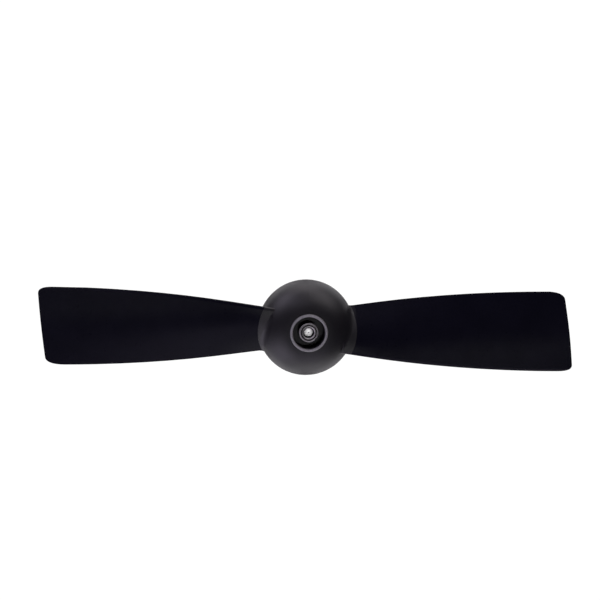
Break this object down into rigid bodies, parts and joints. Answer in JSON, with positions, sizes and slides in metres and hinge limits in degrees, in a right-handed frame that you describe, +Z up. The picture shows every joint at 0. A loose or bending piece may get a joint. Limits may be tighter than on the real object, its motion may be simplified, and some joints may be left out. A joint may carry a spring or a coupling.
{
  "type": "model aircraft propeller",
  "caption": "Two-blade propeller with a moulded domed nose, clamped by a nose screw to an adaptor on a shaft that turns in a flanged ball bearing.",
  "frame": {"origin": "on the spin axis, in the plane of the bearing flange's rear face, which seats on the airframe", "axes": "+Y along the spin axis towards the airframe, so the nose points along -Y; +X along the blades; +Z up"},
  "size_m": [0.153, 0.0323, 0.0274],
  "materials": {
    "moulded_nylon": "satin to glossy black moulded nylon",
    "screw_steel": "turned stainless steel",
    "adaptor_aluminium": "turned bare aluminium",
    "black_steel": "black oxide steel",
    "shaft_steel": "ground steel",
    "shim_brass": "rolled brass",
    "spring_steel": "blued spring steel",
    "bearing_steel": "ground and polished bearing steel",
    "ball_steel": "polished bearing balls",
    "cage_brass": "pressed brass cage",
    "shield_steel": "pressed stainless shield"
  },
  "bodies": {
    "bearing_housing": {"bearing_outer_ring": "bearing_steel", "bearing_shield_front": "shield_steel", "bearing_shield_rear": "shield_steel"},
    "rotor": {"moulded_propeller": "moulded_nylon", "nose_screw": "screw_steel", "drive_adaptor": "adaptor_aluminium", "grub_screw_upper": "black_steel", "grub_screw_lower": "black_steel", "drive_shaft": "shaft_steel", "shim_washer_front": "shim_brass", "shim_washer_rear": "shim_brass", "retaining_ring": "spring_steel", "bearing_inner_ring": "bearing_steel"},
    "ball_train": {"bearing_balls": "ball_steel", "ball_cage": "cage_brass"}
  },
  "joints": [
    {"name": "propeller_spin", "type": "hinge", "parent": "bearing_housing", "child": "rotor", "pos_m": [0, 0, 0], "axis": [0, 1, 0], "continuous": true},
    {"name": "cage_spin", "type": "hinge", "parent": "bearing_housing", "child": "ball_train", "pos_m": [0, 0, 0], "axis": [0, 1, 0], "continuous": true}
  ],
  "couplings": [
    {"joint": "cage_spin", "follows": "propeller_spin", "ratio": 0.4111}
  ]
}
